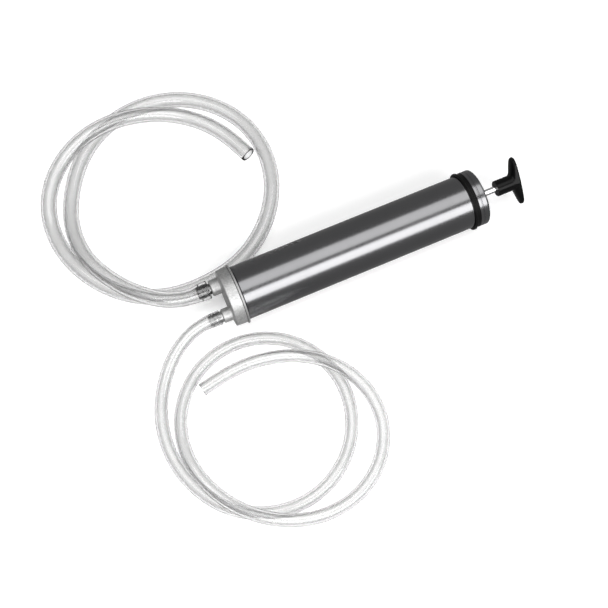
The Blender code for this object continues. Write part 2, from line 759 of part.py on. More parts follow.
def smooth_route(route_mm):
    """Evenly spaced points on a smooth curve through a route's points.

    The curve is a cubic spline that leaves the first point along -X and has no bend at its end.
    """
    route = [Vector(point) / 1000.0 for point in route_mm]
    steps = [(after - before).length for before, after in zip(route, route[1:])]
    count = len(route)
    diagonal = [2.0 * steps[0]]
    right = [6.0 * ((route[1] - route[0]) / steps[0] - Vector((-1.0, 0.0, 0.0)))]
    for index in range(1, count - 1):
        before = steps[index - 1]
        after = steps[index]
        slope_in = (route[index] - route[index - 1]) / before
        slope_out = (route[index + 1] - route[index]) / after
        weight = before / diagonal[-1]
        diagonal.append(2.0 * (before + after) - weight * before)
        right.append(6.0 * (slope_out - slope_in) - weight * right[-1])
    bends = [Vector((0.0, 0.0, 0.0))] * count
    for index in range(count - 2, -1, -1):
        bends[index] = (right[index] - steps[index] * bends[index + 1]) / diagonal[index]
    fine = []
    for index, step in enumerate(steps):
        cubic = (bends[index + 1] - bends[index]) / (6.0 * step)
        slope = (route[index + 1] - route[index]) / step
        slope -= step * (2.0 * bends[index] + bends[index + 1]) / 6.0
        for part in range(HOSE_FINE_STEPS):
            t = step * part / HOSE_FINE_STEPS
            fine.append(route[index] + slope * t + bends[index] * t * t / 2.0 + cubic * t**3)
    fine.append(route[-1])
    return spaced_points(fine, HOSE_SPACING)


def spaced_points(fine, spacing):
    """The same path walked in equal steps of about the given length.

    A short first step keeps the tube's first end square to the fitting.
    """
    travelled = [0.0]
    for before, after in zip(fine, fine[1:]):
        travelled.append(travelled[-1] + (after - before).length)
    count = round(travelled[-1] / spacing)
    goals = [travelled[-1] * step / count for step in range(count + 1)]
    goals.insert(1, HOSE_FIRST_STEP)
    points = []
    index = 0
    for goal in goals:
        while index < len(fine) - 2 and travelled[index + 1] < goal:
            index += 1
        part = (goal - travelled[index]) / (travelled[index + 1] - travelled[index])
        points.append(fine[index].lerp(fine[index + 1], part))
    return points


def make_hose(name, route_mm, radius, material):
    tube_curve(name, smooth_route(route_mm), radius, 3, material)


def add_frame(name, parent=None):
    """An empty on the barrel's axis, which carries the pieces that move together."""
    frame = bpy.data.objects.new(name, None)
    bpy.context.scene.collection.objects.link(frame)
    frame.parent = parent
    if parent is None:
        frame.matrix_world = Matrix.Translation((0.0, 0.0, AXIS_HEIGHT))
    return frame


def main():
    clear_scene()
    cast = make_material("cast_aluminium", (0.62, 0.63, 0.64), 0.42, 0.85)
    steel = make_material("brushed_barrel_steel", (0.60, 0.61, 0.62), 0.24, 1.0)
    chrome = make_material("polished_steel", (0.72, 0.73, 0.74), 0.08, 1.0)
    zinc = make_material("plated_steel", (0.66, 0.66, 0.65), 0.30, 1.0)
    brass = make_material("brass", (0.70, 0.54, 0.28), 0.28, 1.0)
    rubber = make_material("black_rubber", (0.022, 0.022, 0.022), 0.62)
    plastic = make_material("black_gloss_plastic", (0.018, 0.018, 0.019), 0.22)
    vinyl = make_material("clear_vinyl", (0.86, 0.88, 0.89), 0.10, 0.0, 0.45)

    pump = add_frame("pump_frame")
    slider = add_frame("piston_frame", pump)
    rod_frame = add_frame("rod_frame", slider)

    make_base_cap(cast, pump)
    make_cap_o_ring(rubber, pump)
    make_front_gasket(rubber, pump)
    make_front_clamp_ring(cast, pump)
    make_barrel_tube(steel, pump)
    make_rear_rubber_ring(rubber, pump)
    make_rear_cap(steel, pump)
    make_rod_bush(zinc, pump)
    make_rod_wiper_seal(rubber, pump)
    make_bush_nut(zinc, pump)
    make_piston(zinc, rubber, slider)
    make_piston_nuts(zinc, rod_frame)
    make_plunger_rod(chrome, rod_frame)
    make_handle(plastic, brass, rod_frame)
    make_fitting("inlet_fitting", INLET_BARB, 1, zinc, pump)
    make_fitting("outlet_fitting", OUTLET_BARB, -1, zinc, pump)
    make_valve("inlet_valve", INLET_BALL_X, INLET_SPRING_X, 1, chrome)
    make_valve("outlet_valve", OUTLET_BALL_X, OUTLET_SPRING_X, -1, chrome)
    make_hose("inlet_hose", INLET_ROUTE_MM, INLET_HOSE_RADIUS, vinyl)
    make_hose("outlet_hose", OUTLET_ROUTE_MM, OUTLET_HOSE_RADIUS, vinyl)
    bpy.context.view_layer.update()


main()
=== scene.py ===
"""The finished look of a two-hose hand fluid transfer pump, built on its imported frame."""

import math

import bmesh
import bpy
import numpy as np
from mathutils import Matrix, Vector


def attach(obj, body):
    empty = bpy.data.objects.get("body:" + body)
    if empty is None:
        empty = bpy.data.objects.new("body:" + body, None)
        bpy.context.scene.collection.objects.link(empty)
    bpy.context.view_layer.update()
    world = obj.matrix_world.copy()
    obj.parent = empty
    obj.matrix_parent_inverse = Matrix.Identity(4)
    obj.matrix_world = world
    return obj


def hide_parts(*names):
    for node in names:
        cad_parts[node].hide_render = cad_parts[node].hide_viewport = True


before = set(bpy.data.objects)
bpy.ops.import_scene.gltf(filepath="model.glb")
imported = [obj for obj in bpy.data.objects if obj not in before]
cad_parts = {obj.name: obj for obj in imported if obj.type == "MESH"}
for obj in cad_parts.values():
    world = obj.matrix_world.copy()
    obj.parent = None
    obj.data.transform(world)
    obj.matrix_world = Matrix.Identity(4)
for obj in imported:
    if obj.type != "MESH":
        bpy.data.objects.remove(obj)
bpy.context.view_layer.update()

# ---------------------------------------------------------------- dimensions, in metres
AXIS_HEIGHT = 0.0305
PORT_Y = 0.0155
INLET_RADIUS = 0.00795
INLET_BORE = 0.00575
OUTLET_RADIUS = 0.00635
OUTLET_BORE = 0.00455
FITTING_SHOULDER_X = -0.1594
FITTING_TIP_X = -0.1710
BARB_COUNT = 3
BOSS_FRONT_X = -0.1571
INLET_BOSS_RADIUS = 0.0081
OUTLET_BOSS_RADIUS = 0.0070
CAP_REAR_X = -0.1360
LIP_FRONT_X = -0.1356
ROD_RADIUS = 0.003175

# Hoses: step of the drawn centreline, and where the stretch over the barbs ends and how softly
HOSE_STEP = 0.0030
BARBS_END = 0.0115
BARBS_FADE = 0.0018
CUT_EDGE_ROUNDING = 0.00035

# Handle: the crossbar's outer face, its size at mid-length and at its tips, and its hub
HANDLE_TURN = math.radians(44.0)
HANDLE_FACE_X = 0.1710
HANDLE_HALF_LENGTH = 0.0250
HANDLE_END_REACH = 0.985
HANDLE_HALF_BREADTH = 0.0090
HANDLE_NARROWING = 0.0014
HANDLE_THICKNESS = 0.0105
HANDLE_THINNING = 0.0070
HANDLE_TAPER_POWER = 0.85
HANDLE_EDGE = 0.0012
HANDLE_END_POWER = 6.0
HANDLE_SECTION_POWER = 2.2
HUB_RADIUS = 0.0081
HUB_FILLET = 0.0020
HUB_FILLET_X = 0.1616

# Centreline of each hose, in millimetres, from its fitting to its cut end
INLET_ROUTE_MM = (
    (-171.3, 15.5, 30.5),
    (-186, 17, 30.7),
    (-204, 24, 31),
    (-221.5, 38, 30),
    (-236, 55.5, 26.5),
    (-248, 75.5, 23),
    (-256.5, 97, 19.5),
    (-260, 120, 14.5),
    (-258, 147, 10),
    (-243, 185, 8.2),
    (-214, 220.5, 8.2),
    (-174, 241, 8.2),
    (-129, 243, 8.2),
    (-87, 224.5, 8.2),
    (-58, 190, 8.2),
    (-47.5, 146, 8.2),
    (-56.5, 101.5, 8.2),
    (-82, 64.5, 8.2),
    (-117.5, 40.5, 8.2),
    (-158.5, 31.5, 8.2),
    (-202, 35.5, 8.2),
    (-240, 57.5, 8.2),
    (-267, 93.5, 8.2),
    (-278.5, 136.5, 9),
    (-271.5, 176.5, 13.5),
    (-245.5, 208, 20.5),
    (-204.5, 227, 24.5),
    (-160, 230, 20),
    (-117.5, 217.5, 12.5),
    (-84.5, 188.5, 8.7),
    (-64, 146.5, 8.2),
)
OUTLET_ROUTE_MM = (
    (-171.3, -15.5, 30.5),
    (-184, -17, 29.8),
    (-202, -23.5, 26),
    (-229.5, -47, 18),
    (-248.5, -83, 10.5),
    (-251.5, -123.5, 7.5),
    (-238, -163, 6.6),
    (-209, -193.5, 6.6),
    (-170, -207, 6.6),
    (-128.5, -201, 6.6),
    (-95, -176, 6.6),
    (-77, -138, 6.6),
    (-79, -97, 6.6),
    (-101, -61, 6.6),
    (-138, -41, 6.6),
    (-180, -42, 6.6),
    (-215.5, -64, 7.5),
    (-235.5, -100.5, 11),
    (-236.5, -141.5, 16),
    (-220.5, -180, 19.5),
    (-191, -209.5, 19),
    (-153, -225, 14.5),
    (-111.5, -223, 10.2),
    (-75.5, -201.5, 10),
    (-56.5, -166, 13.5),
    (-60, -126, 18),
    (-84, -92, 20),
    (-119, -71.5, 17),
    (-159.5, -64, 12),
    (-201.5, -69, 7.5),
)


# ---------------------------------------------------------------- camera
def make_camera():
    """Above and in front of the pump's near side, turned so that the barrel rises to the right."""
    data = bpy.data.cameras.new("camera")
    data.lens = 64.0
    data.sensor_width = 36.0
    data.clip_start = 0.01
    data.clip_end = 50.0
    camera = bpy.data.objects.new("camera", data)
    bpy.context.scene.collection.objects.link(camera)
    target = Vector((-0.0800, -0.0354, 0.0305))
    back = Vector((-0.1337, -0.3060, 0.9426)).normalized()
    camera.location = target + back * 1.0475
    camera.rotation_mode = "QUATERNION"
    camera.rotation_quaternion = (-back).to_track_quat("-Z", "Y")
    bpy.context.scene.camera = camera


# ---------------------------------------------------------------- material helpers
def new_material(name, colour, roughness, metallic=0.0):
    """A material with its node tree and its Principled shader."""
    material = bpy.data.materials.new(name)
    material.use_nodes = True
    shader = material.node_tree.nodes["Principled BSDF"]
    shader.inputs["Base Color"].default_value = (*colour, 1.0)
    shader.inputs["Roughness"].default_value = roughness
    shader.inputs["Metallic"].default_value = metallic
    return material, material.node_tree, shader


def add_node(tree, kind, **settings):
    """A node with each setting put on the input of that name, or on the node itself."""
    node = tree.nodes.new(kind)
    for key, value in settings.items():
        if key in node.inputs:
            node.inputs[key].default_value = value
        else:
            setattr(node, key, value)
    return node


def object_coordinates(tree, scale=(1.0, 1.0, 1.0)):
    coordinates = add_node(tree, "ShaderNodeTexCoord")
    mapping = add_node(tree, "ShaderNodeMapping")
    mapping.inputs["Scale"].default_value = scale
    tree.links.new(coordinates.outputs["Object"], mapping.inputs["Vector"])
    return mapping.outputs["Vector"]


def noise(tree, vector, scale, detail=4.0, roughness=0.55):
    node = add_node(tree, "ShaderNodeTexNoise", Scale=scale, Detail=detail, Roughness=roughness)
    tree.links.new(vector, node.inputs["Vector"])
    return node.outputs["Fac"]


def spread(tree, value, low, high, start=0.3, end=0.7):
    """A value's range from start to end, stretched to run from low to high."""
    node = add_node(tree, "ShaderNodeMapRange")
    node.inputs["From Min"].default_value = start
    node.inputs["From Max"].default_value = end
    node.inputs["To Min"].default_value = low
    node.inputs["To Max"].default_value = high
    tree.links.new(value, node.inputs["Value"])
    return node.outputs["Result"]


def mixed_colour(tree, factor, first, second):
    node = add_node(tree, "ShaderNodeMix", data_type="RGBA")
    colours = [item for item in node.inputs if item.type == "RGBA"]
    colours[0].default_value = (*first, 1.0)
    colours[1].default_value = (*second, 1.0)
    tree.links.new(factor, node.inputs["Factor"])
    return [item for item in node.outputs if item.type == "RGBA"][0]


def bump(tree, shader, height, strength, distance):
    node = add_node(tree, "ShaderNodeBump", Strength=strength, Distance=distance)
    tree.links.new(height, node.inputs["Height"])
    tree.links.new(node.outputs["Normal"], shader.inputs["Normal"])
    return node


# ---------------------------------------------------------------- shape helpers
def rounded(points, steps=6, hold=0.0003):
    """A closed outline with each (x, radius, fillet) corner rounded.

    A point close to each end of a fillet keeps the straight run beside it straight when shaded.
    """
    outline = []
    count = len(points)
    for index in range(count):
        x, radius, fillet = points[index]
        corner = Vector((x, radius))
        if fillet <= 0.0:
            outline.append((x, radius))
            continue
        before = Vector(points[index - 1][:2]) - corner
        after = Vector(points[(index + 1) % count][:2]) - corner
        half = before.angle(after) / 2.0
        reach = min(fillet / math.tan(half), before.length * 0.49, after.length * 0.49)
        size = reach * math.tan(half)
        start = corner + before.normalized() * reach
        middle = corner + (before.normalized() + after.normalized()).normalized() * (
            size / math.sin(half)
        )
        end = corner + after.normalized() * reach
        first = start - middle
        last = end - middle
        sweep = first.angle_signed(last)
        if reach + hold < before.length * 0.5:
            outline.append(tuple(start + before.normalized() * hold))
        for step in range(steps + 1):
            turned = first.copy()
            turned.rotate(Matrix.Rotation(-sweep * step / steps, 2))
            outline.append(tuple(middle + turned))
        if reach + hold < after.length * 0.5:
            outline.append(tuple(end + after.normalized() * hold))
    return outline


def lathe(name, outline, sides=144, closed=True, across=0.0, smooth_angle=30.0):
    """A profile turned about an X-axis line through (Y = across, Z = AXIS_HEIGHT)."""
    points = np.array(outline, float)
    angles = np.arange(sides) * math.tau / sides
    vertices = []
    starts = []
    for x, radius in points:
        starts.append(len(vertices))
        if radius < 1e-7:
            vertices.append((x, across, AXIS_HEIGHT))
            continue
        for angle in angles:
            y = across + radius * math.sin(angle)
            z = AXIS_HEIGHT + radius * math.cos(angle)
            vertices.append((x, y, z))
    faces = []
    count = len(points)
    for index in range(count if closed else count - 1):
        after = (index + 1) % count
        low = starts[index]
        high = starts[after]
        low_tip = points[index][1] < 1e-7
        high_tip = points[after][1] < 1e-7
        if low_tip and high_tip:
            continue
        for side in range(sides):
            following = (side + 1) % sides
            if low_tip:
                faces.append((low, high + side, high + following))
            elif high_tip:
                faces.append((low + side, high, low + following))
            else:
                faces.append((low + side, high + side, high + following, low + following))
    mesh = bpy.data.meshes.new(name)
    mesh.from_pydata(vertices, [], faces)
    return add_piece(name, mesh, smooth_angle)


def add_piece(name, mesh, smooth_angle=30.0):
    """An object with its faces turned outwards, smooth but for edges past the angle."""
    bm = bmesh.new()
    bm.from_mesh(mesh)
    bmesh.ops.recalc_face_normals(bm, faces=bm.faces)
    bm.to_mesh(mesh)
    bm.free()
    mesh.shade_smooth()
    mesh.set_sharp_from_angle(angle=math.radians(smooth_angle))
    piece = bpy.data.objects.new(name, mesh)
    bpy.context.scene.collection.objects.link(piece)
    return piece


def place(piece, material, body, slot, *nodes):
    """Gives a piece its material, its body and the nodes it stands for."""
    piece.data.materials.append(material)
    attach(piece, body)
    if nodes:
        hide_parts(*nodes)


# ---------------------------------------------------------------- hoses
def smooth_route(route_mm, fine_steps=40):
    """A cubic spline through the route's points that leaves the first one along -X."""
    route = [Vector(point) / 1000.0 for point in route_mm]
    steps = [(after - before).length for before, after in zip(route, route[1:])]
    count = len(route)
    diagonal = [2.0 * steps[0]]
    right = [6.0 * ((route[1] - route[0]) / steps[0] - Vector((-1.0, 0.0, 0.0)))]
    for index in range(1, count - 1):
        before = steps[index - 1]
        after = steps[index]
        slope_in = (route[index] - route[index - 1]) / before
        slope_out = (route[index + 1] - route[index]) / after
        weight = before / diagonal[-1]
        diagonal.append(2.0 * (before + after) - weight * before)
        right.append(6.0 * (slope_out - slope_in) - weight * right[-1])
    bends = [Vector((0.0, 0.0, 0.0))] * count
    for index in range(count - 2, -1, -1):
        bends[index] = (right[index] - steps[index] * bends[index + 1]) / diagonal[index]
    fine = []
    for index, step in enumerate(steps):
        cubic = (bends[index + 1] - bends[index]) / (6.0 * step)
        slope = (route[index + 1] - route[index]) / step
        slope -= step * (2.0 * bends[index] + bends[index + 1]) / 6.0
        for part in range(fine_steps):
            t = step * part / fine_steps
            fine.append(route[index] + slope * t + bends[index] * t * t / 2.0 + cubic * t**3)
    fine.append(route[-1])
    return fine


def even_path(points, spacing):
    """The path walked in equal steps."""
    places = np.array([tuple(point) for point in points])
    steps = np.linalg.norm(np.diff(places, axis=0), axis=1)
    travelled = np.concatenate([[0.0], np.cumsum(steps)])
    goals = np.linspace(0.0, travelled[-1], int(round(travelled[-1] / spacing)) + 1)
    return np.stack([np.interp(goals, travelled, places[:, axis]) for axis in range(3)], 1)


def tube_rings(path, radii, sides):
    """Rings of points about a path, carried along it without twist."""
    tangents = np.gradient(path, axis=0)
    tangents /= np.linalg.norm(tangents, axis=1)[:, None]
    up = np.array((0.0, 0.0, 1.0))
    normal = up - tangents[0] * (up @ tangents[0])
    rings = []
    angles = np.arange(sides) * math.tau / sides
    for place, tangent, radius in zip(path, tangents, radii):
        normal = normal - tangent * (normal @ tangent)
        normal /= np.linalg.norm(normal)
        side = np.cross(tangent, normal)
        circle = np.cos(angles)[:, None] * normal + np.sin(angles)[:, None] * side
        rings.append(place + circle * radius)
    return rings


def hose_piece(name, path, outer, bore, sides=36):
    """A hollow tube with an outer wall, a bore and square-cut rims with softened edges."""
    rings = tube_rings(path, outer, sides)
    inner = tube_rings(path, bore, sides)
    first = path[0] - path[1]
    first *= CUT_EDGE_ROUNDING / np.linalg.norm(first)
    last = path[-1] - path[-2]
    last *= CUT_EDGE_ROUNDING / np.linalg.norm(last)
    start_mid = (rings[0] + inner[0]) / 2.0
    end_mid = (rings[-1] + inner[-1]) / 2.0

    def rim(edge, middle, shift, lean):
        return edge + (middle - edge) * lean + shift

    loops = rings + [
        rim(rings[-1], end_mid, last * 0.7, 0.12),
        rim(rings[-1], end_mid, last, 0.35),
        rim(inner[-1], end_mid, last, 0.35),
        rim(inner[-1], end_mid, last * 0.7, 0.12),
        inner[-1],
    ]
    loops += inner[-2:0:-1]
    loops += [
        inner[0],
        rim(inner[0], start_mid, first * 0.7, 0.12),
        rim(inner[0], start_mid, first, 0.35),
        rim(rings[0], start_mid, first, 0.35),
        rim(rings[0], start_mid, first * 0.7, 0.12),
    ]
    vertices = np.concatenate(loops)
    faces = []
    count = len(loops)
    for index in range(count):
        low = index * sides
        high = ((index + 1) % count) * sides
        for side in range(sides):
            following = (side + 1) % sides
            faces.append((low + side, low + following, high + following, high + side))
    mesh = bpy.data.meshes.new(name)
    mesh.from_pydata([tuple(point) for point in vertices], [], faces)
    return add_piece(name, mesh, 40.0)


def clear_vinyl(name):
    """Clear vinyl with faint haze and a drawn ripple; its colour is greyer where it is seen edge
    on, partly a tint for the longer path through the wall and partly painted shade for the dark
    lines at the walls' edges.
    """
    material, tree, shader = new_material(name, (0.93, 0.93, 0.93), 0.04)
    shader.inputs["Transmission Weight"].default_value = 1.0
    shader.inputs["IOR"].default_value = 1.46
    # Greyer where seen edge on: partly the wall's tint, partly painted shade along the walls'
    # edges.
    edge = add_node(tree, "ShaderNodeLayerWeight", Blend=0.5)
    wall = spread(tree, edge.outputs["Facing"], 0.0, 1.0, 0.04, 0.42)
    tree.links.new(
        mixed_colour(tree, wall, (0.825, 0.825, 0.825), (0.545, 0.545, 0.545)),
        shader.inputs["Base Color"],
    )
    vector = object_coordinates(tree)
    haze = noise(tree, vector, 90.0, 3.0)
    tree.links.new(spread(tree, haze, 0.02, 0.07), shader.inputs["Roughness"])
    ripple = noise(tree, vector, 70.0, 2.0)
    bump(tree, shader, ripple, 0.02, 0.0005)
    return material


def make_hoses():
    """Both hoses, each wider where it is pushed over its barbs.

    The swells are the shares by which the wall and the bore grow there. The hoses cast no shadow,
    because light that passes through clear walls would otherwise be lost.
    """
    vinyl = clear_vinyl("clear_vinyl_look")
    for side, route, radius, bore, swell, bore_swell in (
        ("inlet", INLET_ROUTE_MM, INLET_RADIUS, INLET_BORE, 0.157, 0.26),
        ("outlet", OUTLET_ROUTE_MM, OUTLET_RADIUS, OUTLET_BORE, 0.118, 0.29),
    ):
        fine = smooth_route(route)
        shoulder = Vector((FITTING_SHOULDER_X, fine[0].y, fine[0].z))
        path = even_path([shoulder] + fine, HOSE_STEP)
        beyond = np.arange(len(path)) * HOSE_STEP
        stretch = 1.0 / (1.0 + np.exp((beyond - BARBS_END) / BARBS_FADE))
        outer = radius * (1.0 + swell * stretch)
        inner = bore * (1.0 + bore_swell * stretch)
        piece = hose_piece(side + "_hose_tube", path, outer, inner)
        piece.visible_shadow = False
        place(piece, vinyl, "pump_body", "clear_vinyl", side + "_hose")


# ---------------------------------------------------------------- materials of the hard pieces
def satin_steel(name):
    """Polished drawn steel: fine rings around it, faint long draw marks and soft smudges."""
    material, tree, shader = new_material(name, (0.20, 0.20, 0.205), 0.2, 1.0)
    shader.inputs["Anisotropic"].default_value = 0.35
    tangent = add_node(tree, "ShaderNodeTangent", direction_type="RADIAL", axis="X")
    tree.links.new(tangent.outputs["Tangent"], shader.inputs["Tangent"])
    around = noise(tree, object_coordinates(tree, (90.0, 1.0, 1.0)), 40.0, 5.0, 0.6)
    along = noise(tree, object_coordinates(tree, (1.0, 60.0, 60.0)), 16.0, 3.0)
    smudges = noise(tree, object_coordinates(tree, (0.5, 1.0, 1.0)), 34.0, 5.0)
    blend = add_node(tree, "ShaderNodeMath", operation="MULTIPLY_ADD")
    tree.links.new(along, blend.inputs[0])
    blend.inputs[1].default_value = 0.45
    tree.links.new(around, blend.inputs[2])
    tree.links.new(
        mixed_colour(tree, smudges, (0.18, 0.18, 0.185), (0.22, 0.22, 0.225)),
        shader.inputs["Base Color"],
    )
    sheen = spread(tree, blend.outputs["Value"], 0.14, 0.24, 0.4, 1.0)
    tree.links.new(sheen, shader.inputs["Roughness"])
    bump(tree, shader, blend.outputs["Value"], 0.05, 0.00004)
    return material


def cast_aluminium(name):
    """Matte die-cast aluminium: a fine sandy skin with a few shallow marks."""
    material, tree, shader = new_material(name, (0.49, 0.49, 0.49), 0.52, 0.95)
    vector = object_coordinates(tree)
    grain = noise(tree, vector, 900.0, 3.0, 0.7)
    patches = noise(tree, vector, 560.0, 4.0, 0.7)
    share = spread(tree, patches, 0.0, 1.0)
    tree.links.new(
        mixed_colour(tree, share, (0.35, 0.35, 0.35), (0.63, 0.63, 0.625)),
        shader.inputs["Base Color"],
    )
    tree.links.new(spread(tree, patches, 0.46, 0.60), shader.inputs["Roughness"])
    bump(tree, shader, grain, 0.5, 0.00024)
    return material


def polished_metal(name, colour, smoothest, roughest):
    """Bright turned and polished metal with very fine turning rings and light wear."""
    material, tree, shader = new_material(name, colour, smoothest, 1.0)
    rings = noise(tree, object_coordinates(tree, (70.0, 1.0, 1.0)), 45.0, 3.0)
    wear = noise(tree, object_coordinates(tree), 160.0, 5.0, 0.65)
    worn = tuple(value * 0.86 for value in colour)
    tree.links.new(mixed_colour(tree, wear, worn, colour), shader.inputs["Base Color"])
    tree.links.new(spread(tree, wear, smoothest, roughest), shader.inputs["Roughness"])
    bump(tree, shader, rings, 0.03, 0.00002)
    return material


def black_rubber(name):
    """Soft black rubber with a dusty, finely pitted skin."""
    material, tree, shader = new_material(name, (0.003, 0.003, 0.003), 0.45)
    shader.inputs["Specular IOR Level"].default_value = 0.12
    vector = object_coordinates(tree)
    dust = noise(tree, vector, 220.0, 5.0, 0.65)
    pits = noise(tree, vector, 2200.0, 2.0)
    tree.links.new(
        mixed_colour(tree, dust, (0.002, 0.002, 0.002), (0.006, 0.006, 0.006)),
        shader.inputs["Base Color"],
    )
    tree.links.new(spread(tree, dust, 0.34, 0.55), shader.inputs["Roughness"])
    bump(tree, shader, pits, 0.20, 0.00006)
    return material


def gloss_plastic(name):
    """Black moulded plastic: glossy, with a slight orange-peel skin and fine rub marks."""
    material, tree, shader = new_material(name, (0.002, 0.002, 0.002), 0.2)
    shader.inputs["Specular IOR Level"].default_value = 0.12
    vector = object_coordinates(tree)
    peel = noise(tree, vector, 330.0, 2.0)
    rubs = noise(tree, vector, 140.0, 6.0, 0.7)
    tree.links.new(
        mixed_colour(tree, rubs, (0.0015, 0.0015, 0.0015), (0.004, 0.004, 0.004)),
        shader.inputs["Base Color"],
    )
    tree.links.new(spread(tree, rubs, 0.15, 0.30), shader.inputs["Roughness"])
    bump(tree, shader, peel, 0.10, 0.0002)
    return material


# ---------------------------------------------------------------- hard pieces
def make_barrel(steel):
    """The drawn tube, with a fine groove behind its lip ring."""
    outline = rounded(
        [
            (-0.1353, 0.0256, 0.0002),
            (-0.1353, 0.0272, 0.0003),
            (-0.1334, 0.0272, 0.0),
            (-0.1329, 0.0268, 0.0),
            (-0.1324, 0.0272, 0.0),
            (0.1225, 0.0272, 0.0003),
            (0.1225, 0.0256, 0.0002),
        ],
        3,
    )
    shell = lathe("barrel_shell", outline, 192)
    place(shell, steel, "pump_body", "brushed_barrel_steel", "barrel_tube")


def make_base_cap(cast):
    """The cast cap with its seal groove, its two bosses and the bores through them."""
    body = rounded(
        [
            (-0.1475, 0.0000, 0.0),
            (-0.1475, 0.0232, 0.0003),
            (-0.1472, 0.0238, 0.0003),
            (-0.1472, 0.0286, 0.0010),
            (-0.1418, 0.0289, 0.0),
            (CAP_REAR_X, 0.0290, 0.0003),
            (CAP_REAR_X, 0.0252, 0.0002),
            (-0.1312, 0.0252, 0.0002),
            (-0.1312, 0.0232, 0.0002),
            (-0.1288, 0.0232, 0.0002),
            (-0.1288, 0.0252, 0.0002),
            (-0.1265, 0.0252, 0.0004),
            (-0.1265, 0.0000, 0.0),
        ],
        5,
    )
    bore = [
        (-0.1500, 0.0000),
        (-0.1500, 0.0051),
        (-0.1335, 0.0051),
        (-0.1335, 0.0030),
        (-0.1240, 0.0030),
        (-0.1240, 0.0000),
    ]
    casting = lathe("base_cap_casting", body, 160, closed=False)
    bosses = []
    for side, radius in ((1, INLET_BOSS_RADIUS), (-1, OUTLET_BOSS_RADIUS)):
        outline = rounded(
            [
                (-0.1465, 0.0050, 0.0),
                (BOSS_FRONT_X, 0.0050, 0.0003),
                (BOSS_FRONT_X, radius, 0.0013),
                (-0.1481, radius + 0.0001, 0.0010),
                (-0.1471, radius + 0.0012, 0.0),
                (-0.1465, radius + 0.0014, 0.0),
            ],
            6,
        )
        bosses.append(lathe("boss", outline, 72, across=side * PORT_Y))
        cut(casting, lathe("port_bore", bore, 48, closed=False, across=side * PORT_Y))
    join(casting, bosses)
    place(casting, cast, "pump_body", "cast_aluminium", "base_cap")


def join(piece, others):
    """Adds other pieces' meshes to this one."""
    bm = bmesh.new()
    bm.from_mesh(piece.data)
    for other in others:
        bm.from_mesh(other.data)
    bm.to_mesh(piece.data)
    bm.free()
    for other in others:
        bpy.data.objects.remove(other, do_unlink=True)


def make_front_rings(rubber, cast):
    """The thin gasket sheet, and the bright lip ring around the barrel's front end."""
    gasket = [
        (CAP_REAR_X, 0.0255),
        (CAP_REAR_X, 0.0288),
        (LIP_FRONT_X, 0.0288),
        (LIP_FRONT_X, 0.0255),
    ]
    place(lathe("gasket_sheet", gasket, 144), rubber, "pump_body", "black_rubber", "front_gasket")
    lip = rounded(
        [
            (LIP_FRONT_X, 0.0275, 0.0002),
            (LIP_FRONT_X, 0.0305, 0.0008),
            (-0.1338, 0.0305, 0.0008),
            (-0.1338, 0.0275, 0.0002),
        ],
        6,
    )
    place(lathe("rolled_lip", lip, 160), cast, "pump_body", "cast_aluminium", "front_clamp_ring")


def make_rear_rings(rubber, steel):
    """The rubber ring with its lip, sleeve and groove, and the turned rear cap."""
    ring = rounded(
        [
            (0.1092, 0.0275, 0.0003),
            (0.1092, 0.0300, 0.0008),
            (0.1112, 0.0300, 0.0007),
            (0.1112, 0.0287, 0.0003),
            (0.1132, 0.0287, 0.0003),
            (0.1132, 0.0282, 0.0001),
            (0.1149, 0.0282, 0.0002),
            (0.1149, 0.0275, 0.0003),
        ],
        6,
    )
    bumper = lathe("rubber_bumper", ring, 160)
    place(bumper, rubber, "pump_body", "black_rubber", "rear_rubber_ring")
    cup = rounded(
        [
            (0.1152, 0.0275, 0.0002),
            (0.1152, 0.0287, 0.0004),
            (0.1180, 0.0287, 0.0002),
            (0.1182, 0.0282, 0.0002),
            (0.1190, 0.0282, 0.0002),
            (0.1192, 0.0287, 0.0002),
            (0.1255, 0.0287, 0.0022),
            (0.1255, 0.0150, 0.0),
            (0.1252, 0.0140, 0.0),
            (0.1252, 0.0110, 0.0),
            (0.1255, 0.0100, 0.0),
            (0.1255, 0.0070, 0.0002),
            (0.1230, 0.0070, 0.0002),
            (0.1230, 0.0275, 0.0002),
        ],
        8,
    )
    cap = lathe("rear_cap_shell", cup, 160)
    hole = [(0.120, 0.0), (0.120, 0.0015), (0.128, 0.0015), (0.128, 0.0)]
    drill = lathe("vent_drill", hole, 32, closed=False)
    drill.location = (0.0, 0.0, 0.018)
    cut(cap, drill)
    place(cap, steel, "pump_body", "brushed_barrel_steel", "rear_cap")


def cut(piece, tool):
    """Takes a tool's shape out of a piece, and keeps the result as its mesh."""
    modifier = piece.modifiers.new("cut", "BOOLEAN")
    modifier.object = tool
    modifier.operation = "DIFFERENCE"
    modifier.solver = "EXACT"
    settle(piece)
    bpy.data.objects.remove(tool, do_unlink=True)


def settle(piece, smooth_angle=30.0):
    """Applies a piece's modifiers."""
    bpy.context.view_layer.update()
    evaluated = piece.evaluated_get(bpy.context.evaluated_depsgraph_get())
    mesh = bpy.data.meshes.new_from_object(evaluated)
    piece.modifiers.clear()
    piece.data = mesh
    mesh.shade_smooth()
    mesh.set_sharp_from_angle(angle=math.radians(smooth_angle))


